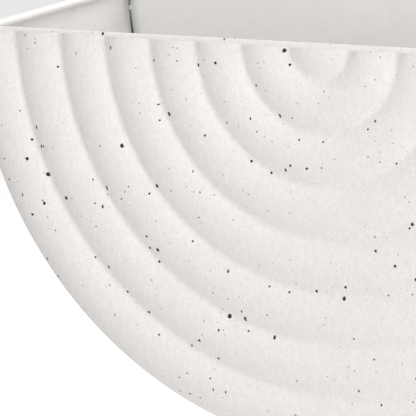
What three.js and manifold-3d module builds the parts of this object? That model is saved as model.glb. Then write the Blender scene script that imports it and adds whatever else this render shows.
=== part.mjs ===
// Half-moon wall planter of painted sheet steel. A pressed front panel with concentric
// ribs, a curved side band and a flat back panel are nested and welded into an open pot.
// Millimetres. X runs to the right, Y towards the wall, Z up. The origin lies on the
// back panel's rear face, midway between the two keyholes, at the height of their seats.

import * as THREE from 'three';
import { mergeVertices } from 'three/addons/utils/BufferGeometryUtils.js';
import Module from 'manifold-3d';

const wasm = await Module();
wasm.setup();

// Driving dimensions: the sheet and the ribbed front.
const sheet = 1.0; // thickness of the sheet steel
const domeRadius = 15.8; // half dome in the middle of the front
const ribPitch = 25; // width of a rib, groove to groove
const ribCount = 7; // ribs round the dome
const ribHeight = 3.5; // crest above groove bottom
const edgeRollRadius = 5; // rolled outer edge of the front panel
const bandInset = 4.5; // last rib's outer end to the band's outer face

// Driving dimensions: the pot behind the front.
const innerDepth = 136.4; // groove bottom to the back panel's front face
const rimRoll = 4.2; // outer diameter of the rolled rim
const rollSlit = 0.5; // raw edge of the roll to the wall beside it
const backSeamGap = 1.6; // open seam between the band and the back panel
const backRimDepth = 9; // reach of the back panel's rim round the band
const fitClearance = 0.3; // between parts that nest or lie against each other
const rollLap = 0.15; // radians of the rolled rim that run down into the band's wall

// Driving dimensions: hanging and welds.
const keyholeSpacing = 150; // between the two keyholes
const keyholeHeadHole = 10; // lets a screw's head through
const keyholeSlotWidth = 5; // holds the screw's shank
const keyholeRise = 9; // head hole's centre to the slot's seat
const seatDrop = 36; // rim's top to the slots' seats
const tackCount = 7; // tack welds along the back seam
const tackLength = 3.4; // along the seam
const tackDepth = 1.8; // across the band's sheet
const firstTackAngle = 3.3; // degrees below the rim, seen from the arcs' centre
const frontWeldLeg = 2.2; // fillet weld between the band and the front panel

// Facets of the round shapes.
const turnSteps = 64;
const ribSteps = 6;
const rollSteps = 12;
const holeSteps = 24;

// Worked out from the values above, with the arcs' centre at X 0, Z 0.
const backFrontY = -sheet;
const grooveY = backFrontY - innerDepth;
const crestY = grooveY - ribHeight;
const lastGrooveRadius = domeRadius + ribPitch * ribCount;
const lastCrestRadius = lastGrooveRadius - ribPitch / 2;
const bandRadius = lastGrooveRadius - bandInset;
const rollRadius = rimRoll / 2;
const rimTopZ = rollRadius;
const rimRearY = crestY + rimRoll;
const bandRearY = backFrontY - backSeamGap;
const backRimInnerRadius = bandRadius + fitClearance;
const backRadius = backRimInnerRadius + sheet;
const arcCentreZ = seatDrop - rimTopZ;
const reach = 2 * (lastGrooveRadius + edgeRollRadius);

// An arch over a rib: its radius, and the turn from its crest to its foot.
function archOver(halfWidth, height) {
  const radius = (halfWidth ** 2 + height ** 2) / (2 * height);
  return { radius, turn: Math.asin(halfWidth / radius) };
}
const domeArch = archOver(domeRadius, ribHeight);
const ribArch = archOver(ribPitch / 2, ribHeight);
const edgeRollCentre = new THREE.Vector2(
  lastGrooveRadius - edgeRollRadius * Math.sin(ribArch.turn),
  grooveY + edgeRollRadius * Math.cos(ribArch.turn),
);
const edgeRollEnd = Math.PI + Math.asin(
  (edgeRollCentre.x - bandRadius - fitClearance) / edgeRollRadius,
);

const paint = { color: 0xece8e4, roughness: 0.75, metalness: 0.0 };
const thinPaint = { color: 0xc9c9c6, roughness: 0.7, metalness: 0.1 };

// Turns a closed geometry into a solid that can be joined and cut.
function solidFrom(geometry) {
  const bare = geometry.clone();
  bare.deleteAttribute('normal');
  bare.deleteAttribute('uv');
  const merged = mergeVertices(bare, 1e-4);
  const place = merged.getAttribute('position');
  const corner = (i) => new THREE.Vector3().fromBufferAttribute(place, i);
  const faces = [];
  let volume = 0;
  for (let i = 0; i < merged.index.count; i += 3) {
    const [a, b, c] = [0, 1, 2].map((k) => merged.index.getX(i + k));
    if (a === b || b === c || c === a) continue;
    faces.push([a, b, c]);
    volume += corner(a).dot(corner(b).cross(corner(c)));
  }
  const outward = volume > 0 ? faces : faces.map(([a, b, c]) => [a, c, b]);
  return new wasm.Manifold(new wasm.Mesh({
    numProp: 3,
    vertProperties: new Float32Array(place.array),
    triVerts: new Uint32Array(outward.flat()),
  }));
}

function geometryFrom(solid) {
  const mesh = solid.getMesh();
  const geometry = new THREE.BufferGeometry();
  geometry.setAttribute('position', new THREE.BufferAttribute(mesh.vertProperties, 3));
  geometry.setIndex(new THREE.BufferAttribute(mesh.triVerts, 1));
  geometry.computeVertexNormals();
  return geometry;
}

function boxSolid(low, high) {
  const box = new THREE.Box3(new THREE.Vector3(...low), new THREE.Vector3(...high));
  const size = box.getSize(new THREE.Vector3());
  const middle = box.getCenter(new THREE.Vector3());
  const geometry = new THREE.BoxGeometry(size.x, size.y, size.z);
  geometry.translate(middle.x, middle.y, middle.z);
  return solidFrom(geometry);
}

// Spins a closed outline of radius and depth about the Y axis, and keeps the lower half.
function lowerHalfTurn(outline, topZ = 0) {
  const turned = solidFrom(new THREE.LatheGeometry(outline, turnSteps));
  return turned.subtract(boxSolid([-reach, -reach, topZ], [reach, reach, reach]));
}

// Draws a shape of X and Z, and extrudes it from frontY to rearY.
function extrudeAlongY(points, frontY, rearY) {
  const geometry = new THREE.ExtrudeGeometry(new THREE.Shape(points), {
    depth: rearY - frontY,
    bevelEnabled: false,
  });
  geometry.rotateX(Math.PI / 2);
  geometry.translate(0, rearY, 0);
  return solidFrom(geometry);
}

function pointsOnArc(centre, radius, from, to, steps) {
  return Array.from({ length: steps + 1 }, (_, i) => {
    const angle = from + ((to - from) * i) / steps;
    return new THREE.Vector2(
      centre.x + radius * Math.cos(angle),
      centre.y + radius * Math.sin(angle),
    );
  });
}

// Section of a sheet rolled round, from one angle to another.
function rollSection(centre, from, to) {
  const outer = pointsOnArc(centre, rollRadius, from, to, rollSteps);
  const inner = pointsOnArc(centre, rollRadius - sheet, to, from, rollSteps);
  return [...outer, ...inner];
}

// The front surface as radius and depth, moved back into the sheet by an inset:
// the dome, the ribs, and the edge rolled back towards the band.
function frontOutline(inset) {
  const points = [new THREE.Vector2(0, crestY + inset)];
  const addArch = (centre, radius, from, to, steps) => {
    for (let i = 1; i <= steps; i += 1) {
      const angle = from + ((to - from) * i) / steps;
      points.push(new THREE.Vector2(
        centre.x + radius * Math.sin(angle),
        centre.y - radius * Math.cos(angle),
      ));
    }
  };
  const domeCentre = new THREE.Vector2(0, crestY + domeArch.radius);
  const domeInset = domeArch.radius - inset;
  addArch(domeCentre, domeInset, 0, Math.asin(domeRadius / domeInset), ribSteps / 2);
  const ribInset = ribArch.radius - inset;
  const foot = Math.asin(ribPitch / 2 / ribInset);
  for (let rib = 0; rib < ribCount; rib += 1) {
    const crestRadius = domeRadius + ribPitch * (rib + 0.5);
    const centre = new THREE.Vector2(crestRadius, crestY + ribArch.radius);
    const isLast = rib === ribCount - 1;
    addArch(centre, ribInset, -foot, isLast ? ribArch.turn : foot, ribSteps);
  }
  addArch(edgeRollCentre, edgeRollRadius - inset, ribArch.turn, edgeRollEnd, rollSteps);
  return points;
}

// Rear surface of the last rib, at a radius between its feet.
function lastRibRearY(radius) {
  const across = radius - lastCrestRadius;
  return crestY + ribArch.radius - Math.sqrt((ribArch.radius - sheet) ** 2 - across ** 2);
}

// Closes the open end of the rolled edge beside the rim: side is -1 left, 1 right.
function rolledEdgeEnd(side) {
  const edge = frontOutline(0).filter((point) => point.x >= lastCrestRadius - sheet / 2);
  const plan = [
    ...edge,
    new THREE.Vector2(bandRadius + fitClearance, rimRearY),
    new THREE.Vector2(edge[0].x, rimRearY),
  ];
  const geometry = new THREE.ExtrudeGeometry(
    new THREE.Shape(plan.map((point) => new THREE.Vector2(side * point.x, point.y))),
    { depth: rimTopZ + sheet / 2, bevelEnabled: false },
  );
  geometry.translate(0, 0, -sheet / 2);
  return solidFrom(geometry);
}

function frontPanel() {
  const outline = [...frontOutline(0), ...frontOutline(sheet).reverse()];
  const bottom = -Math.PI / 2;
  const halfSlit = rollSlit / rollRadius;
  const rim = new THREE.ExtrudeGeometry(
    new THREE.Shape(rollSection(
      new THREE.Vector2(crestY + rollRadius, 0),
      bottom - halfSlit,
      bottom + halfSlit - 2 * Math.PI,
    )),
    { depth: 2 * lastCrestRadius, bevelEnabled: false },
  );
  rim.rotateX(Math.PI / 2);
  rim.rotateZ(Math.PI / 2);
  rim.translate(-lastCrestRadius, 0, 0);
  return lowerHalfTurn(outline)
    .add(solidFrom(rim))
    .add(rolledEdgeEnd(-1))
    .add(rolledEdgeEnd(1));
}

// The rolled rim along the top of one side of the band.
function sideRimRoll(side) {
  const centre = new THREE.Vector2(bandRadius - rollRadius, 0);
  const end = 2 * Math.PI - Math.acos(1 - (sheet + rollSlit) / rollRadius);
  const section = rollSection(centre, -rollLap, end);
  const points = section.map((point) => new THREE.Vector2(side * point.x, point.y));
  return extrudeAlongY(points, rimRearY + fitClearance, bandRearY);
}

// A half moon of X and Z, with upright sides above the arc.
function halfMoon(radius, topZ) {
  return [
    new THREE.Vector2(-radius, topZ),
    ...pointsOnArc(new THREE.Vector2(), radius, Math.PI, 2 * Math.PI, turnSteps / 2),
    new THREE.Vector2(radius, topZ),
  ];
}

function sideBand() {
  const frontEdgeY = lastRibRearY(bandRadius) + fitClearance;
  const section = [
    ...halfMoon(bandRadius, 0).slice(1, -1),
    ...halfMoon(bandRadius - sheet, 0).slice(1, -1).reverse(),
  ];
  const rimNotch = boxSolid(
    [-reach, -reach, -rollRadius - fitClearance],
    [reach, rimRearY + fitClearance, reach],
  );
  return extrudeAlongY(section, frontEdgeY, bandRearY)
    .subtract(rimNotch)
    .add(sideRimRoll(-1))
    .add(sideRimRoll(1));
}

// A screw's way through the back panel, at one side.
function keyhole(side) {
  const x = (side * keyholeSpacing) / 2;
  const seatZ = rimTopZ - seatDrop;
  const headZ = seatZ - keyholeRise;
  const bore = (diameter, z) => {
    const geometry = new THREE.CylinderGeometry(
      diameter / 2, diameter / 2, 4 * sheet, holeSteps,
    );
    geometry.translate(x, backFrontY / 2, z);
    return solidFrom(geometry);
  };
  const slot = boxSolid(
    [x - keyholeSlotWidth / 2, backFrontY - sheet, headZ],
    [x + keyholeSlotWidth / 2, sheet, seatZ],
  );
  return bore(keyholeHeadHole, headZ).add(bore(keyholeSlotWidth, seatZ)).add(slot);
}

function backPanel() {
  const rim = [
    ...halfMoon(backRadius, rimTopZ),
    ...halfMoon(backRimInnerRadius, rimTopZ).reverse(),
  ];
  return extrudeAlongY(halfMoon(backRadius, rimTopZ), backFrontY, 0)
    .add(extrudeAlongY(rim, -backRimDepth, 0))
    .subtract(keyhole(-1))
    .subtract(keyhole(1));
}

// One tack weld, a flat bead in the open seam between the band and the back panel.
function tackWeld() {
  const geometry = new THREE.SphereGeometry(0.5, 10, 6);
  geometry.scale(tackDepth, backSeamGap - 2 * fitClearance, tackLength);
  return geometry;
}

// The fillet weld inside the pot, between the front panel and the band.
function frontSeamWeld() {
  const outer = bandRadius - sheet - fitClearance;
  const inner = outer - frontWeldLeg;
  const outline = [
    new THREE.Vector2(inner, lastRibRearY(inner) + fitClearance),
    new THREE.Vector2(outer, lastRibRearY(outer) + fitClearance),
    new THREE.Vector2(outer, lastRibRearY(outer) + fitClearance + frontWeldLeg),
    new THREE.Vector2(inner, lastRibRearY(inner) + fitClearance),
  ];
  return lowerHalfTurn(outline, -rollRadius - 2 * fitClearance);
}

const planter = new THREE.Group();
planter.name = 'wall_planter';
planter.position.z = arcCentreZ;

function addPart(name, geometry, finish) {
  const mesh = new THREE.Mesh(geometry, new THREE.MeshStandardMaterial(finish));
  mesh.name = name;
  planter.add(mesh);
  return mesh;
}

addPart('front_panel', geometryFrom(frontPanel()), paint);
addPart('side_band', geometryFrom(sideBand()), paint);
addPart('back_panel', geometryFrom(backPanel()), paint);
addPart('front_seam_weld', geometryFrom(frontSeamWeld()), thinPaint);

const tackStep = (180 - 2 * firstTackAngle) / (tackCount - 1);
for (let i = 0; i < tackCount; i += 1) {
  const below = THREE.MathUtils.degToRad(firstTackAngle + tackStep * i);
  const radius = bandRadius - tackDepth / 2;
  const weld = addPart(`back_tack_weld_${i + 1}`, tackWeld(), thinPaint);
  weld.position.set(
    -radius * Math.cos(below),
    (backFrontY + bandRearY) / 2,
    -radius * Math.sin(below),
  );
  weld.rotation.y = -below;
}

export default planter;
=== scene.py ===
import math

import bmesh
import bpy
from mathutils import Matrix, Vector


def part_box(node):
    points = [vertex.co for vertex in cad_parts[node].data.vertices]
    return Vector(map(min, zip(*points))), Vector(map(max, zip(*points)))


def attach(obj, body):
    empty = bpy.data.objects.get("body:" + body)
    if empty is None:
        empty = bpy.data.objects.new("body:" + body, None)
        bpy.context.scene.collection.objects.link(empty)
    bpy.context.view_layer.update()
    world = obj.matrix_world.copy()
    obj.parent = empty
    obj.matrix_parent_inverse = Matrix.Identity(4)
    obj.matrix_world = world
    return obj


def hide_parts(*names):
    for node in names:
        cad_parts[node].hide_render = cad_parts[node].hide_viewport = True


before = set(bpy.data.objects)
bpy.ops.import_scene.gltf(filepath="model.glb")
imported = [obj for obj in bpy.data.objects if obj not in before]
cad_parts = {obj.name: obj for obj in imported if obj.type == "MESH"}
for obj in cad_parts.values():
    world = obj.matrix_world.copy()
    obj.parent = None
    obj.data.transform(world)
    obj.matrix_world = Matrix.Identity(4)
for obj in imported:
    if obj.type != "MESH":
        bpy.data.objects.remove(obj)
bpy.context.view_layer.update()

# ---------------------------------------------------------------------------
# Back panel: a half moon of 1 mm sheet steel that lies against the wall. Its
# arc is bent forward round the side band, and two keyholes are punched in it.
# ---------------------------------------------------------------------------

MM = 0.001
SHEET = 1.0 * MM
back_low, back_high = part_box("back_panel")
BACK_RADIUS = back_high.x
BACK_FRONT_Y = -SHEET
RIM_TOP = back_high.z
RIM_ROLL = 2.1 * MM
ARC_Z = RIM_TOP - RIM_ROLL
ARC_CENTRE = Vector((0, 0, ARC_Z))
ARC_STEPS = 288
BACK_BEND = 1.1 * MM
KEYHOLE_X = 75 * MM
HEAD_HOLE_RADIUS = 5 * MM
SLOT_RADIUS = 2.5 * MM
KEYHOLE_RISE = 9 * MM
PUNCH_LENGTH = 6 * SHEET
PUNCH_STEPS = 64
BEND_STEPS = 5
CUT_EDGE = 0.15 * MM
TOUCH = 1e-6


def only(piece):
    """Leaves edit mode, deselects everything else and makes one object active."""
    if bpy.context.object and bpy.context.object.mode == "EDIT":
        bpy.ops.object.mode_set(mode="OBJECT")
    bpy.ops.object.select_all(action="DESELECT")
    piece.select_set(True)
    bpy.context.view_layer.objects.active = piece


def begin(name):
    """Puts the place of the primitive that was just added in its mesh, and edits it."""
    piece = bpy.context.object
    piece.name = name
    piece.data.name = name
    bpy.ops.object.transform_apply()
    bpy.ops.object.mode_set(mode="EDIT")
    return piece


def pick(piece, kind, wanted):
    """In edit mode, selects the vertices, edges or faces whose middle passes a test."""
    bpy.ops.mesh.select_mode(type=kind)
    bpy.ops.mesh.select_all(action="DESELECT")
    mesh = bmesh.from_edit_mesh(piece.data)
    if kind == "VERT":
        for vertex in mesh.verts:
            vertex.select_set(wanted(vertex.co))
    elif kind == "EDGE":
        for edge in mesh.edges:
            edge.select_set(wanted(edge.verts[0].co) and wanted(edge.verts[1].co))
    else:
        for face in mesh.faces:
            face.select_set(wanted(face.calc_center_median()))
    bmesh.update_edit_mesh(piece.data)


def pick_edges(piece, wanted):
    """In edit mode, selects the edges that pass a test on the edge itself."""
    bpy.ops.mesh.select_mode(type="EDGE")
    bpy.ops.mesh.select_all(action="DESELECT")
    mesh = bmesh.from_edit_mesh(piece.data)
    for edge in mesh.edges:
        edge.select_set(wanted(edge))
    bmesh.update_edit_mesh(piece.data)


def extrude(*move):
    """In edit mode, draws the selection out by a step along each axis."""
    bpy.ops.mesh.extrude_region_move(TRANSFORM_OT_translate={"value": move})


def near(a, b, by=TOUCH):
    return abs(a - b) < by


def apply_modifier(piece, kind, **settings):
    """Shapes a piece with one modifier, and applies it."""
    only(piece)
    modifier = piece.modifiers.new(kind.title(), kind)
    for key, value in settings.items():
        setattr(modifier, key, value)
    bpy.ops.object.modifier_apply(modifier=modifier.name)


def thicken(piece, wall):
    """Gives a sheet its thickness on the inner side."""
    apply_modifier(
        piece, "SOLIDIFY", thickness=wall, offset=-1,
        use_even_offset=True, use_quality_normals=True,
    )


def soften(piece, width, steps=2, over=50):
    """Rounds the cut edges of a sheet, and shades the rest smooth."""
    limit = math.radians(over)
    apply_modifier(
        piece, "BEVEL", width=width, segments=steps,
        limit_method="ANGLE", angle_limit=limit, harden_normals=False,
    )
    bpy.ops.object.shade_smooth_by_angle(angle=limit)
    apply_modifier(piece, "WEIGHTED_NORMAL", keep_sharp=True)


def punch(piece, cutter):
    """Cuts a hole through a sheet, and takes the cutter away."""
    apply_modifier(piece, "BOOLEAN", operation="DIFFERENCE", object=cutter, solver="EXACT")
    bpy.data.objects.remove(cutter)


def punch_cylinder(radius, x, z):
    """A round cutter that goes through the back panel."""
    bpy.ops.mesh.primitive_cylinder_add(
        vertices=PUNCH_STEPS, radius=radius, depth=PUNCH_LENGTH,
        location=(x, 0, z), rotation=(math.pi / 2, 0, 0),
    )
    return begin("punch")


def hang(piece, material, slot, *nodes):
    """Gives a finished piece its material, and hangs it in place of its CAD nodes."""
    piece.data.materials.clear()
    piece.data.materials.append(material)
    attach(piece, "root")
    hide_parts(*nodes)


def on_outer_arc(edge):
    """True for the free edges of the half moon, but for its straight top."""
    lowest = min(vertex.co.z for vertex in edge.verts)
    return edge.is_boundary and lowest < RIM_TOP - 10 * TOUCH


def on_rim_fold(edge):
    """True for the edges where the rim turns forward from the panel."""
    flat = all(near(vertex.co.y, 0) for vertex in edge.verts)
    return flat and len(edge.link_faces) == 2 and edge.calc_face_angle(0) > 1


only(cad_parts["back_panel"])
bpy.ops.object.select_all(action="DESELECT")
bpy.ops.mesh.primitive_circle_add(
    vertices=ARC_STEPS, radius=BACK_RADIUS, fill_type="NGON",
    location=ARC_CENTRE, rotation=(-math.pi / 2, 0, 0),
)
back_panel = begin("back_panel_sheet")
bpy.ops.mesh.select_all(action="SELECT")
bpy.ops.mesh.bisect(plane_co=ARC_CENTRE, plane_no=(0, 0, 1), clear_outer=True)
pick(back_panel, "EDGE", lambda p: near(p.z, ARC_Z))
extrude(0, 0, RIM_ROLL)
pick_edges(back_panel, on_outer_arc)
extrude(0, back_low.y, 0)
pick_edges(back_panel, on_rim_fold)
bpy.ops.mesh.bevel(offset=BACK_BEND, segments=BEND_STEPS, affect="EDGES")
thicken(back_panel, SHEET)
for side in (-1, 1):
    x = side * KEYHOLE_X
    head = punch_cylinder(HEAD_HOLE_RADIUS, x, -KEYHOLE_RISE)
    punch(back_panel, head)
    slot = punch_cylinder(SLOT_RADIUS, x, 0)
    pick(slot, "VERT", lambda p: p.z < 0)
    bpy.ops.transform.translate(value=(0, 0, -KEYHOLE_RISE))
    punch(back_panel, slot)
soften(back_panel, CUT_EDGE)


PAINT_SHINE = 0.35
CLOUD_SIZE = 9.0
CLOUD_FADE = (0.35, 0.65)
CROWD_SIZE = 34.0
CROWD_FADE = (0.35, 0.68)
SPECK_WAVE = 0.8
SPECK_BEND = 0.65


class Paint:
    """The nodes of one powder coat, in millimetres of the planter's own space."""

    def __init__(self, name, roughness):
        self.material = bpy.data.materials.new(name)
        self.material.use_nodes = True
        self.tree = self.material.node_tree
        self.shader = self.tree.nodes["Principled BSDF"]
        self.shader.inputs["Roughness"].default_value = roughness
        self.shader.inputs["Specular IOR Level"].default_value = PAINT_SHINE
        place = self.tree.nodes.new("ShaderNodeTexCoord").outputs["Object"]
        self.place = self.vector("SCALE", place, scale=1 / MM)

    def node(self, kind, settings=None, **inputs):
        """Adds a node; an input is named, or numbered as _0, _1 and so on."""
        node = self.tree.nodes.new(kind)
        for key, value in (settings or {}).items():
            setattr(node, key, value)
        for key, value in inputs.items():
            socket = node.inputs[int(key[1:])] if key[0] == "_" else node.inputs[key]
            if isinstance(value, bpy.types.NodeSocket):
                self.tree.links.new(value, socket)
            else:
                socket.default_value = value
        return node

    def math(self, operation, a, b=0.0, c=0.0):
        settings = {"operation": operation}
        return self.node("ShaderNodeMath", settings, _0=a, _1=b, _2=c).outputs[0]

    def vector(self, operation, a, b=(0, 0, 0), scale=1.0):
        settings = {"operation": operation}
        node = self.node("ShaderNodeVectorMath", settings, _0=a, _1=b, _3=scale)
        return node.outputs["Value" if operation == "LENGTH" else "Vector"]

    def ramp(self, value, start, end, low=0.0, high=1.0):
        """A smooth step: low before start, high after end."""
        node = self.node("ShaderNodeMapRange", {"interpolation_type": "SMOOTHSTEP"})
        self.tree.links.new(value, node.inputs[0])
        for key, number in zip((1, 2, 3, 4), (start, end, low, high)):
            node.inputs[key].default_value = number
        return node.outputs[0]

    def noise(self, place, size, detail=2.0, roughness=0.5):
        """Soft clouds of about a given size."""
        node = self.node(
            "ShaderNodeTexNoise", Vector=place, Scale=1 / size, Detail=detail,
            Roughness=roughness,
        )
        return node.outputs["Fac"]

    def turned(self, place, turn, stretch):
        """Places turned about Y and stretched, for marks that lie one way."""
        settings = {"vector_type": "POINT"}
        node = self.node("ShaderNodeMapping", settings, Vector=place)
        node.inputs["Rotation"].default_value = (0, math.radians(turn), 0)
        node.inputs["Scale"].default_value = stretch
        return node.outputs[0]

    def mix(self, share, a, b):
        """One colour over another, by a share from 0 to 1."""
        node = self.node("ShaderNodeMix", {"data_type": "RGBA"})
        for index, value in ((0, share), (6, a), (7, b)):
            if isinstance(value, bpy.types.NodeSocket):
                self.tree.links.new(value, node.inputs[index])
            else:
                node.inputs[index].default_value = value
        return node.outputs[2]

    def specks(self, place, cell, small, large, share, edge=0.12):
        """One size of speck: how dark each point is, from 0 to 1."""
        wander = self.node("ShaderNodeTexNoise", Vector=place, Scale=SPECK_WAVE, Detail=1.0)
        shift = self.vector("SUBTRACT", wander.outputs["Color"], (0.5, 0.5, 0.5))
        shift = self.vector("SCALE", shift, scale=SPECK_BEND * large)
        spot = self.node(
            "ShaderNodeTexVoronoi", Vector=self.vector("ADD", place, shift), Scale=1 / cell,
        )
        chance = self.node("ShaderNodeSeparateColor", Color=spot.outputs["Color"])
        crowd = self.noise(place, CROWD_SIZE, detail=1.0)
        limit = self.ramp(crowd, *CROWD_FADE, 0.45 * share, 1.9 * share)
        present = self.math("LESS_THAN", chance.outputs[0], limit)
        skew = self.math("POWER", chance.outputs[1], 2.0)
        radius = self.math("MULTIPLY_ADD", skew, large - small, small)
        distance = self.math("MULTIPLY", spot.outputs["Distance"], cell)
        inside = self.math("SUBTRACT", radius, distance)
        cover = self.ramp(inside, -edge, edge)
        return self.math("MULTIPLY", cover, present)

    def finish(self, colour, height, depth):
        """Gives the coat its colour, and its surface a depth in millimetres."""
        self.tree.links.new(colour, self.shader.inputs["Base Color"])
        bump = self.node("ShaderNodeBump", Height=height, Strength=1.0, Distance=depth * MM)
        self.tree.links.new(bump.outputs[0], self.shader.inputs["Normal"])
        return self.material


def hue(red, green, blue):
    """A colour as it shows on a screen, for a shader."""
    def linear(c):
        return c / 12.92 if c <= 0.04045 else ((c + 0.055) / 1.055) ** 2.4
    return (linear(red), linear(green), linear(blue), 1)


COOL_WHITE = hue(0.957, 0.948, 0.939)
BACK_CLOUD = hue(0.952, 0.942, 0.932)
SPECK = hue(0.13, 0.125, 0.12)
# Bluish grey: thin powder on parts of the weld beads, and painted shade in the inside corner
# at the back seam.
THIN_POWDER_AND_SHADE = hue(0.7, 0.745, 0.765)
# Painted shade: the coat's dimples are drawn a little darker, as if shade fell in them.
DIMPLE_PAINTED_SHADE = hue(0.8, 0.785, 0.77)
# Unpainted steel in the seam, its colour darkened to the crevice's dark look, so partly
# painted shade.
BARE_STEEL_AND_SHADE = hue(0.62, 0.61, 0.59)
# Painted shade alone, for the lower part of the seam gap.
DEEP_GAP_SHADE = hue(0.4, 0.4, 0.41)
BACK_SPECKS = {"cell": 7.0, "small": 0.15, "large": 0.45, "share": 0.25}
BAND_INSIDE = 185.3
BACK_OUTSIDE = BACK_RADIUS / MM
CORNER_SHADE_REACH = 6
FACE_FADE = (-0.9, -0.6)
RIM_FADE = (-4.0, -3.0)
GAP_SHADE_FADE = (8, 28)
PEEL_SIZE = 1.1
SAG_SIZE = 1.8
SAG_TURN = 38
SAG_STRETCH = (1.0, 1.0, 0.4)
SAG_SHARE = 0.6
DIP_FADE = (0.6, 1.0)
INNER_DIP_SHADE = 0.07
INNER_PEEL = 0.05


def orange_peel(paint):
    """The fine dimples of sprayed powder, with faint slanting sags."""
    peel = paint.noise(paint.place, PEEL_SIZE, detail=1.5)
    slanted = paint.turned(paint.place, SAG_TURN, SAG_STRETCH)
    sags = paint.noise(slanted, SAG_SIZE, detail=1.0)
    return paint.math("MULTIPLY_ADD", sags, SAG_SHARE, peel)


def mottled(paint, light, dark):
    """The coat's slightly uneven colour."""
    cloud = paint.noise(paint.place, CLOUD_SIZE, detail=3.0)
    return paint.mix(paint.ramp(cloud, *CLOUD_FADE), light, dark)


def dimpled(paint, colour, peel, depth):
    """A colour that is a little darker where the coat dips: painted shade in the dimples."""
    dip = paint.ramp(peel, *DIP_FADE, depth, 0.0)
    return paint.mix(dip, colour, DIMPLE_PAINTED_SHADE)


def radius_from_centre(paint):
    """How far a point lies from the arcs' centre line, in millimetres."""
    moved = paint.vector("SUBTRACT", paint.place, (0, 0, ARC_Z / MM))
    flat = paint.vector("MULTIPLY", moved, (1, 0, 1))
    return paint.vector("LENGTH", flat)


def back_paint():
    """White on the panel, with painted bluish shade by the side band, and unpainted metal
    with painted shade in the seam, darker lower down.
    """
    paint = Paint("back_paint", 0.7)
    peel = orange_peel(paint)
    colour = mottled(paint, COOL_WHITE, BACK_CLOUD)
    colour = dimpled(paint, colour, peel, INNER_DIP_SHADE)
    faint = paint.specks(paint.place, **BACK_SPECKS)
    colour = paint.mix(paint.math("MULTIPLY", faint, 0.45), colour, SPECK)
    radius = radius_from_centre(paint)
    # Painted bluish shade on the back panel, growing towards the side band.
    corner_shade = paint.ramp(radius, BAND_INSIDE - CORNER_SHADE_REACH, BAND_INSIDE, 0.0, 0.45)
    axes = paint.node("ShaderNodeSeparateXYZ", Vector=paint.place)
    front = paint.ramp(axes.outputs["Y"], *FACE_FADE, 1.0, 0.0)
    colour = paint.mix(paint.math("MULTIPLY", corner_shade, front), colour, THIN_POWDER_AND_SHADE)
    bare = paint.ramp(radius, BAND_INSIDE - 0.2, BAND_INSIDE + 0.3)
    inner = paint.ramp(radius, BACK_OUTSIDE - 0.5, BACK_OUTSIDE - 0.3, 1.0, 0.0)
    deep = paint.ramp(axes.outputs["Y"], *RIM_FADE)
    bare = paint.math("MULTIPLY", paint.math("MULTIPLY", bare, inner), front)
    # Painted shade in the gap: darker towards the bottom.
    steel_and_shade = paint.mix(paint.ramp(axes.outputs["Z"], *GAP_SHADE_FADE), DEEP_GAP_SHADE, BARE_STEEL_AND_SHADE)
    colour = paint.mix(paint.math("MULTIPLY", bare, deep), colour, steel_and_shade)
    return paint.finish(colour, peel, INNER_PEEL)


hang(back_panel, back_paint(), "back_paint", "back_panel")

# ---------------------------------------------------------------------------
# Side band: a strip of the same sheet rolled into a half round. Both its top
# ends are rolled inwards, and its rear edge stands off the back panel.
# ---------------------------------------------------------------------------

band_low, band_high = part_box("side_band")
BAND_RADIUS = band_high.x
ROLL_FRONT_Y = -136.4 * MM
ROLL_CENTRE_X = BAND_RADIUS - RIM_ROLL
ROLL_SLIT = 0.5 * MM
ROLL_STEPS = 24
ROLL_TURN = 2 * math.pi - math.acos(1 - (SHEET + ROLL_SLIT) / RIM_ROLL)
BAND_ROWS = (5, 9, 15, 24, 40, 62, 86, 110)
RIM_NOTCH = 2.4 * MM
TACK_COUNT = 7
TACK_FIRST = math.radians(3.3)
TACK_STEP = (math.pi - 2 * TACK_FIRST) / (TACK_COUNT - 1)
TACK_RADIUS = BAND_RADIUS - 0.9 * MM
TACK_REACH = 1.4 * MM
DIP_REACH = 15 * MM
OPEN_GAP = 2.0 * MM
TACKED_GAP = 1.2 * MM
BAND_BACK_Y = BACK_FRONT_Y - OPEN_GAP


def on_arc(radius, below, y=0.0):
    """A point at an angle below the left end of the arcs."""
    return Vector((-radius * math.cos(below), y, ARC_Z - radius * math.sin(below)))


bpy.ops.object.select_all(action="DESELECT")
bpy.ops.mesh.primitive_circle_add(
    vertices=2 * ARC_STEPS, radius=BAND_RADIUS, fill_type="NOTHING",
    location=(0, BAND_BACK_Y, ARC_Z), rotation=(-math.pi / 2, 0, 0),
)
side_band = begin("side_band_sheet")
pick(side_band, "VERT", lambda p: p.z > ARC_Z + 10 * TOUCH)
bpy.ops.mesh.delete(type="VERT")
bpy.ops.mesh.select_all(action="SELECT")
row_y = BAND_BACK_Y
for depth in BAND_ROWS:
    extrude(0, -depth * MM - row_y, 0)
    row_y = -depth * MM
extrude(0, ROLL_FRONT_Y - row_y, 0)
pick(side_band, "EDGE", lambda p: near(p.y, ROLL_FRONT_Y) and p.z < ARC_Z - RIM_NOTCH)
extrude(0, band_low.y - ROLL_FRONT_Y, 0)
for side in (-1, 1):
    pick(side_band, "EDGE", lambda p: near(p.z, ARC_Z) and p.x * side > 0)
    bpy.ops.mesh.spin(
        steps=ROLL_STEPS, angle=ROLL_TURN,
        center=(side * ROLL_CENTRE_X, 0, ARC_Z), axis=(0, side, 0),
    )
for tack in range(TACK_COUNT):
    spot = on_arc(BAND_RADIUS, TACK_FIRST + TACK_STEP * tack, BAND_BACK_Y)
    pick(side_band, "VERT", lambda p: (p - spot).length < TACK_REACH)
    bpy.ops.transform.translate(
        value=(0, OPEN_GAP - TACKED_GAP, 0), use_proportional_edit=True,
        proportional_edit_falloff="SMOOTH", proportional_size=DIP_REACH,
    )
thicken(side_band, SHEET)
soften(side_band, CUT_EDGE)


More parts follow.
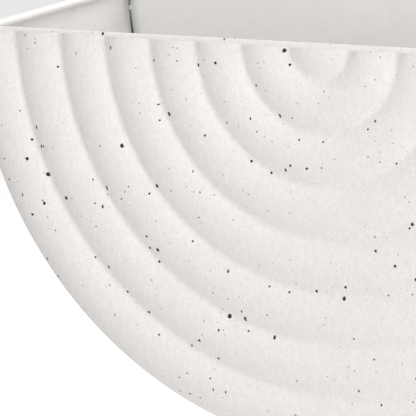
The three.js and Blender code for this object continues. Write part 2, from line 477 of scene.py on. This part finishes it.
BAND_CLOUD = hue(0.951, 0.941, 0.931)
BAND_SPECKS = {"cell": 6.0, "small": 0.15, "large": 0.5, "share": 0.3}
CORNER_SHADE_FADE = (-10.5, -2.6)
REAR_EDGE_SHADE_FADE = (-3.1, -2.7)


def band_paint():
    """White, with painted bluish shade on the inside next to the back panel, and unpainted
    metal with painted shade on its rear edge in the seam.
    """
    paint = Paint("band_paint", 0.7)
    peel = orange_peel(paint)
    colour = mottled(paint, COOL_WHITE, BAND_CLOUD)
    colour = dimpled(paint, colour, peel, INNER_DIP_SHADE)
    faint = paint.specks(paint.place, **BAND_SPECKS)
    colour = paint.mix(paint.math("MULTIPLY", faint, 0.6), colour, SPECK)
    axes = paint.node("ShaderNodeSeparateXYZ", Vector=paint.place)
    radius = radius_from_centre(paint)
    inner = paint.ramp(radius, BAND_INSIDE + 0.3, BAND_INSIDE + 0.6, 1.0, 0.0)
    # Painted bluish shade on the band's inside, growing towards the back panel.
    corner_shade = paint.ramp(axes.outputs["Y"], *CORNER_SHADE_FADE, 0.0, 0.75)
    colour = paint.mix(paint.math("MULTIPLY", corner_shade, inner), colour, THIN_POWDER_AND_SHADE)
    # The band's rear edge in the seam: unpainted steel, darkened as painted shade.
    edge = paint.ramp(axes.outputs["Y"], *REAR_EDGE_SHADE_FADE)
    colour = paint.mix(edge, colour, BARE_STEEL_AND_SHADE)
    return paint.finish(colour, peel, INNER_PEEL)


hang(side_band, band_paint(), "band_paint", "side_band")

# ---------------------------------------------------------------------------
# Tack welds: seven short beads that hold the band's rear edge to the back
# panel. The powder lies thin and bluish on parts of them.
# ---------------------------------------------------------------------------

TACK_SIZE = Vector((1.9, 2.0, 2.2)) * MM
TACK_SPLITS = 4
TACK_Y = BACK_FRONT_Y - TACKED_GAP / 2
BEAD_WHITE = hue(0.95, 0.945, 0.935)
BEAD_FADE = (0.45, 0.75)
BEAD_CLOUD = 1.2
BEAD_GRAIN = 0.6
BEAD_DEPTH = 0.08
SPATTER_SIZE = 1.1 * MM
SPATTER_HEIGHT = 0.5 * MM
SPATTER_LEVEL = 0.6


def weld_paint():
    """White powder that leaves parts of the bead thinly covered."""
    paint = Paint("weld_paint", 0.6)
    cloud = paint.noise(paint.place, BEAD_CLOUD, detail=3.0)
    colour = paint.mix(paint.ramp(cloud, *BEAD_FADE), BEAD_WHITE, THIN_POWDER_AND_SHADE)
    grain = paint.noise(paint.place, BEAD_GRAIN, detail=3.0)
    return paint.finish(colour, grain, BEAD_DEPTH)


def roughen(bead):
    """Gives a weld bead its uneven surface."""
    apply_modifier(
        bead, "DISPLACE", texture=spatter, texture_coords="GLOBAL",
        strength=SPATTER_HEIGHT, mid_level=SPATTER_LEVEL,
    )
    bpy.ops.object.shade_smooth()


weld_finish = weld_paint()
spatter = bpy.data.textures.new("weld_spatter", "CLOUDS")
spatter.noise_scale = SPATTER_SIZE
for tack in range(TACK_COUNT):
    below = TACK_FIRST + TACK_STEP * tack
    bpy.ops.object.select_all(action="DESELECT")
    bpy.ops.mesh.primitive_ico_sphere_add(
        subdivisions=TACK_SPLITS, radius=0.5, location=on_arc(TACK_RADIUS, below, TACK_Y),
        rotation=(0, -below, 0), scale=TACK_SIZE,
    )
    bead = begin(f"tack_bead_{tack + 1}")
    roughen(bead)
    hang(bead, weld_finish, "weld_paint", f"back_tack_weld_{tack + 1}")

# ---------------------------------------------------------------------------
# Front panel: one sheet pressed into a half dome and seven ribs round it. Its
# straight top is curled over, and its outer edge is rolled back to the band.
# ---------------------------------------------------------------------------

front_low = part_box("front_panel")[0]
CREST_Y = front_low.y
DOME_RADIUS = 15.8 * MM
RIB_PITCH = 25 * MM
RIB_COUNT = 7
RIB_HEIGHT = 3.5 * MM
RIB_STEPS = 16
GROOVE_Y = CREST_Y + RIB_HEIGHT
GROOVE_BEVEL = 2.8 * MM
EDGE_ROLL = 5 * MM
EDGE_STEPS = 20
BAND_CLEARANCE = 0.3 * MM
LAST_GROOVE = DOME_RADIUS + RIB_PITCH * RIB_COUNT
LAST_CREST = LAST_GROOVE - RIB_PITCH / 2
TURN_STEPS = 160
FOOT_BEND = 0.5 * MM
BROW_BEND = 0.4 * MM
LEDGE_SLOPE = math.radians(85)
LEDGE_STEPS = 4
LEDGE_TOP = ARC_Z + 0.1 * MM
LEDGE_RISE = 0.0046
LEDGE_TOUCH = 2e-5
FOOT_MERGE = 0.12 * MM
SEAM_MERGE = 0.02 * MM
TAB_MARGIN = 0.1 * MM
CURL_RADIUS = 1.1 * MM
CURL_Z = RIM_TOP - CURL_RADIUS
CURL_STEPS = 20
QUARTER_STEPS = 9
CURL_TURN = CURL_STEPS * math.pi / 2 / QUARTER_STEPS


def arch_over(half_width, height):
    """An arch's radius, and its turn from the crest to the foot."""
    radius = (half_width ** 2 + height ** 2) / (2 * height)
    return radius, math.asin(half_width / radius)


def sweep(steps, angle, x, y):
    """Draws the section on, round a centre at X and Y."""
    bpy.ops.mesh.spin(steps=steps, angle=angle, center=(x, y, ARC_Z), axis=(0, 0, -1))


bpy.ops.object.select_all(action="DESELECT")
bpy.ops.mesh.primitive_plane_add(size=MM, location=(0, CREST_Y, ARC_Z))
front_panel = begin("front_panel_sheet")
bpy.ops.mesh.select_all(action="SELECT")
bpy.ops.mesh.merge(type="CENTER")
dome_arch, dome_turn = arch_over(DOME_RADIUS, RIB_HEIGHT)
rib_arch, rib_turn = arch_over(RIB_PITCH / 2, RIB_HEIGHT)
sweep(RIB_STEPS // 2, dome_turn, 0, CREST_Y + dome_arch)
for rib in range(RIB_COUNT):
    sweep(RIB_STEPS, 2 * rib_turn, DOME_RADIUS + RIB_PITCH * (rib + 0.5), CREST_Y + rib_arch)
edge_x = LAST_GROOVE - EDGE_ROLL * math.sin(rib_turn)
edge_y = GROOVE_Y + EDGE_ROLL * math.cos(rib_turn)
edge_turn = math.pi + math.asin((edge_x - BAND_RADIUS - BAND_CLEARANCE) / EDGE_ROLL)
sweep(EDGE_STEPS, edge_turn - rib_turn, edge_x, edge_y)
grooves = [DOME_RADIUS + RIB_PITCH * rib for rib in range(RIB_COUNT)]
pick(front_panel, "VERT", lambda p: any(near(p.x, x, 10 * TOUCH) for x in grooves))
bpy.ops.mesh.bevel(offset=GROOVE_BEVEL, segments=BEND_STEPS, affect="VERTICES")
bpy.ops.mesh.select_all(action="SELECT")
bpy.ops.mesh.spin(steps=TURN_STEPS, angle=math.pi, center=ARC_CENTRE, axis=(0, -1, 0))
bpy.ops.mesh.select_all(action="SELECT")
bpy.ops.mesh.remove_doubles(threshold=TOUCH)
bpy.ops.mesh.normals_make_consistent(inside=False)
bpy.ops.object.mode_set(mode="OBJECT")
facing = sum(face.normal.y * face.area for face in front_panel.data.polygons)
bpy.ops.object.mode_set(mode="EDIT")
if facing > 0:
    bpy.ops.mesh.select_all(action="SELECT")
    bpy.ops.mesh.flip_normals()

ledge_run = FOOT_BEND + BROW_BEND
ledge_line = (RIB_HEIGHT - ledge_run * (1 - math.cos(LEDGE_SLOPE))) / math.sin(LEDGE_SLOPE)
ledge_height = ledge_run * math.sin(LEDGE_SLOPE) + ledge_line * math.cos(LEDGE_SLOPE)
bends = [LEDGE_SLOPE * step / LEDGE_STEPS for step in range(LEDGE_STEPS + 1)]
ledge = [
    (FOOT_BEND * math.sin(bend), RIB_HEIGHT - FOOT_BEND * (1 - math.cos(bend)))
    for bend in bends
]
ledge += [
    (ledge_height - BROW_BEND * math.sin(bend), BROW_BEND * (1 - math.cos(bend)))
    for bend in reversed(bends)
]


def above_foot(p):
    """Height above the ledge's foot, which rises a little towards both ends."""
    return p.z - LEDGE_TOP + ledge_height - LEDGE_RISE * abs(p.x)


def on_ledge(p, height):
    return near(above_foot(p), height, LEDGE_TOUCH)


pick(front_panel, "EDGE", lambda p: near(p.z, ARC_Z, LEDGE_TOUCH))
extrude(0, 0, 2 * RIM_ROLL)
for side in (-1, 1):
    pick(front_panel, "FACE", lambda p: p.x * side > 0)
    bpy.ops.mesh.bisect(
        plane_co=(0, 0, LEDGE_TOP - ledge_height), plane_no=(-side * LEDGE_RISE, 0, 1),
        threshold=0.1 * TOUCH,
    )
pick(front_panel, "VERT", lambda p: above_foot(p) > 2 * TOUCH)
bpy.ops.mesh.delete(type="VERT")
pick(front_panel, "VERT", lambda p: on_ledge(p, 0))
bpy.ops.mesh.remove_doubles(threshold=FOOT_MERGE)
pick(front_panel, "EDGE", lambda p: on_ledge(p, 0))
for (z_now, depth_now), (z_next, depth_next) in zip(ledge, ledge[1:]):
    extrude(0, 0, z_next - z_now)
    pick(front_panel, "VERT", lambda p: on_ledge(p, z_next) and abs(p.x) < LAST_CREST)
    bpy.ops.transform.resize(
        value=(1, depth_next / depth_now, 1), center_override=(0, CREST_Y, 0),
    )
    pick(front_panel, "EDGE", lambda p: on_ledge(p, z_next))
extrude(0, 0, RIM_ROLL)
bpy.ops.transform.resize(value=(1, 1, 0), center_override=(0, 0, CURL_Z))
pick(front_panel, "EDGE", lambda p: near(p.z, CURL_Z) and abs(p.x) < LAST_CREST)
bpy.ops.mesh.spin(
    steps=CURL_STEPS, angle=CURL_TURN,
    center=(0, CREST_Y + CURL_RADIUS, CURL_Z), axis=(1, 0, 0),
)
TAB_REAR_Y = CREST_Y + 2 * RIM_ROLL
edge_end_x = BAND_RADIUS + BAND_CLEARANCE
edge_end_y = edge_y + math.sqrt(EDGE_ROLL ** 2 - (edge_x - edge_end_x) ** 2)


def on_tab(p, side, z=RIM_TOP):
    """True on the tab that caps the last half rib on one side."""
    return near(p.z, z) and p.x * side > LAST_CREST - TAB_MARGIN


def on_tab_fold(edge, side):
    """True for the edges where the tab's cap meets its sides."""
    return all(on_tab(v.co, side) for v in edge.verts) and len(edge.link_faces) == 2


for side in (-1, 1):
    pick(front_panel, "EDGE", lambda p: on_tab(p, side, CURL_Z))
    extrude(0, 0, CURL_RADIUS)
    pick(front_panel, "VERT", lambda p: on_tab(p, side) and near(p.y, CREST_Y))
    extrude(0, TAB_REAR_Y - CREST_Y, 0)
    edge_end = side * edge_end_x
    pick(front_panel, "VERT", lambda p: on_tab(p, side) and near(p.x, edge_end, LEDGE_TOUCH))
    extrude(0, TAB_REAR_Y - edge_end_y, 0)
    pick(front_panel, "EDGE", lambda p: on_tab(p, side))
    bpy.ops.mesh.edge_face_add()
    pick_edges(front_panel, lambda edge: on_tab_fold(edge, side))
    bpy.ops.mesh.bevel(offset=CURL_RADIUS, segments=QUARTER_STEPS, affect="EDGES")
bpy.ops.mesh.select_all(action="SELECT")
bpy.ops.mesh.remove_doubles(threshold=SEAM_MERGE)
bpy.ops.object.mode_set(mode="OBJECT")
thicken(front_panel, SHEET)
soften(front_panel, CUT_EDGE, over=60)


WARM_WHITE = hue(0.957, 0.94, 0.928)
FRONT_CLOUD = hue(0.951, 0.934, 0.922)
LARGE_SPECKS = {"cell": 9.0, "small": 0.65, "large": 1.7, "share": 0.28}
STREAKS = {"cell": 6.0, "small": 0.32, "large": 0.7, "share": 0.26}
MIDDLING_SPECKS = {"cell": 5.5, "small": 0.32, "large": 0.75, "share": 0.45}
FINE_SPECKS = {"cell": 3.6, "small": 0.17, "large": 0.36, "share": 0.52}
STREAK_TURN = 35
STREAK_STRETCH = (1.0, 1.0, 0.5)
FRONT_DIP_SHADE = 0.19
FRONT_PEEL = 0.22


def speckled_paint():
    """Warm white with four sizes of black speck, crowded in places."""
    paint = Paint("speckled_paint", 0.62)
    peel = orange_peel(paint)
    colour = mottled(paint, WARM_WHITE, FRONT_CLOUD)
    colour = dimpled(paint, colour, peel, FRONT_DIP_SHADE)
    slanted = paint.turned(paint.place, STREAK_TURN, STREAK_STRETCH)
    large = paint.specks(paint.place, **LARGE_SPECKS)
    streaks = paint.specks(slanted, **STREAKS)
    middling = paint.specks(paint.place, **MIDDLING_SPECKS)
    fine = paint.specks(paint.place, **FINE_SPECKS)
    dark = paint.math("MAXIMUM", large, streaks)
    dark = paint.math("MAXIMUM", dark, middling)
    dark = paint.math("MAXIMUM", dark, paint.math("MULTIPLY", fine, 0.7))
    colour = paint.mix(dark, colour, SPECK)
    return paint.finish(colour, peel, FRONT_PEEL)


hang(front_panel, speckled_paint(), "speckled_paint", "front_panel")

# ---------------------------------------------------------------------------
# Front seam weld: a small fillet bead laid inside the pot, all along the joint
# between the side band and the front panel.
# ---------------------------------------------------------------------------

WELD_RADIUS = 1.0 * MM
WELD_ARC = 184.1 * MM
WELD_Y = -137.9 * MM
WELD_START = math.radians(1.1)
WELD_STEPS = 900
WELD_SIDES = 12

bpy.ops.object.select_all(action="DESELECT")
bpy.ops.mesh.primitive_circle_add(
    vertices=WELD_SIDES, radius=WELD_RADIUS, fill_type="NOTHING",
    location=on_arc(WELD_ARC, WELD_START, WELD_Y), rotation=(0, -WELD_START, 0),
)
seam_bead = begin("front_seam_bead")
bpy.ops.mesh.select_all(action="SELECT")
bpy.ops.mesh.spin(
    steps=WELD_STEPS, angle=math.pi - 2 * WELD_START, center=ARC_CENTRE, axis=(0, 1, 0),
)
bpy.ops.mesh.select_all(action="SELECT")
bpy.ops.mesh.fill_holes(sides=0)
bpy.ops.mesh.select_all(action="SELECT")
bpy.ops.mesh.normals_make_consistent(inside=False)
roughen(seam_bead)
hang(seam_bead, weld_finish, "weld_paint", "front_seam_weld")

# ---------------------------------------------------------------------------
# Studio: a plain pale floor below the hanging planter, faint even light all
# round, and large soft lamps on the right, above and behind.
# ---------------------------------------------------------------------------

FLOOR_Z = -0.5
FLOOR_SIZE = 14.0
FLOOR_GREY = (0.8, 0.8, 0.8, 1)
FLOOR_GLOW = 0.6
WHITE = (1, 1, 1, 1)
WORLD_LIGHT = 0.18
LAMPS = {
    "key_lamp": {"at": (1.15, -2.05, 0.25), "size": 1.3, "power": 28.2},
    "top_lamp": {"at": (0.1, -0.6, 2.0), "size": 1.8, "power": 20.9},
    "back_lamp": {"at": (0.5, 1.5, 1.3), "size": 1.8, "power": 38.0},
}
VIEW_AIM = Vector((-62.51, -137.4, -46.06)) * MM
VIEW_AZIMUTH = math.radians(30.849)
VIEW_ELEVATION = math.radians(11.68)
VIEW_ROLL = math.radians(-2.416)
VIEW_DISTANCE = 1882.3 * MM
VIEW_LENS = 346.15
SENSOR = 36


def seen_directly(tree):
    """1 for what the camera, a gloss or a glass sees straight, 0 for light."""
    rays = tree.nodes.new("ShaderNodeLightPath")
    first = tree.nodes.new("ShaderNodeMath")
    first.operation = "MAXIMUM"
    tree.links.new(rays.outputs["Is Camera Ray"], first.inputs[0])
    tree.links.new(rays.outputs["Is Glossy Ray"], first.inputs[1])
    second = tree.nodes.new("ShaderNodeMath")
    second.operation = "MAXIMUM"
    tree.links.new(first.outputs[0], second.inputs[0])
    tree.links.new(rays.outputs["Is Transmission Ray"], second.inputs[1])
    return second.outputs[0]


def studio_floor():
    """A matt floor that looks nearly white and still keeps the shadow."""
    bpy.ops.object.select_all(action="DESELECT")
    bpy.ops.mesh.primitive_plane_add(size=FLOOR_SIZE, location=(0, 0, FLOOR_Z))
    floor = bpy.context.object
    floor.name = "studio_floor"
    material = bpy.data.materials.new("pale_floor")
    material.use_nodes = True
    tree = material.node_tree
    matt = tree.nodes["Principled BSDF"]
    matt.inputs["Base Color"].default_value = FLOOR_GREY
    matt.inputs["Roughness"].default_value = 1.0
    matt.inputs["Specular IOR Level"].default_value = 0.0
    glow = tree.nodes.new("ShaderNodeEmission")
    glow.inputs["Strength"].default_value = FLOOR_GLOW
    lit = tree.nodes.new("ShaderNodeAddShader")
    tree.links.new(matt.outputs[0], lit.inputs[0])
    tree.links.new(glow.outputs[0], lit.inputs[1])
    shown = tree.nodes.new("ShaderNodeMixShader")
    tree.links.new(seen_directly(tree), shown.inputs[0])
    tree.links.new(matt.outputs[0], shown.inputs[1])
    tree.links.new(lit.outputs[0], shown.inputs[2])
    tree.links.new(shown.outputs[0], tree.nodes["Material Output"].inputs[0])
    floor.data.materials.append(material)


def studio_light():
    """The world's faint light, which looks white, and the three lamps."""
    world = bpy.data.worlds.new("even_light")
    bpy.context.scene.world = world
    world.use_nodes = True
    tree = world.node_tree
    light = tree.nodes["Background"]
    light.inputs[0].default_value = WHITE
    light.inputs[1].default_value = WORLD_LIGHT
    white = tree.nodes.new("ShaderNodeBackground")
    white.inputs[0].default_value = WHITE
    white.inputs[1].default_value = 1.0
    shown = tree.nodes.new("ShaderNodeMixShader")
    tree.links.new(seen_directly(tree), shown.inputs[0])
    tree.links.new(light.outputs[0], shown.inputs[1])
    tree.links.new(white.outputs[0], shown.inputs[2])
    tree.links.new(shown.outputs[0], tree.nodes["World Output"].inputs[0])
    middle = Vector((0, CREST_Y / 2, ARC_Z - BAND_RADIUS / 2))
    for name, values in LAMPS.items():
        away = Vector(values["at"])
        bpy.ops.object.light_add(type="AREA", location=middle + away)
        lamp = bpy.context.object
        lamp.name = name
        lamp.data.shape = "DISK"
        lamp.data.size = values["size"]
        lamp.data.energy = values["power"]
        lamp.rotation_euler = away.to_track_quat("Z", "Y").to_euler()


def camera():
    """A long lens at the photo's angle, rolled as the photo is."""
    bpy.ops.object.camera_add()
    view = bpy.context.object
    view.name = "photo_camera"
    back = Vector((
        math.sin(VIEW_AZIMUTH) * math.cos(VIEW_ELEVATION),
        -math.cos(VIEW_AZIMUTH) * math.cos(VIEW_ELEVATION),
        math.sin(VIEW_ELEVATION),
    ))
    view.location = VIEW_AIM + back * VIEW_DISTANCE
    right = Vector((math.cos(VIEW_AZIMUTH), math.sin(VIEW_AZIMUTH), 0))
    up = back.cross(right)
    rolled_right = right * math.cos(VIEW_ROLL) + up * math.sin(VIEW_ROLL)
    rolled_up = up * math.cos(VIEW_ROLL) - right * math.sin(VIEW_ROLL)
    turn = view.matrix_world.to_3x3()
    turn.col[0] = rolled_right
    turn.col[1] = rolled_up
    turn.col[2] = back
    view.rotation_euler = turn.to_euler()
    view.data.lens = VIEW_LENS
    view.data.sensor_width = SENSOR
    bpy.context.scene.camera = view


studio_floor()
studio_light()
camera()
bpy.context.scene.view_settings.view_transform = "Standard"
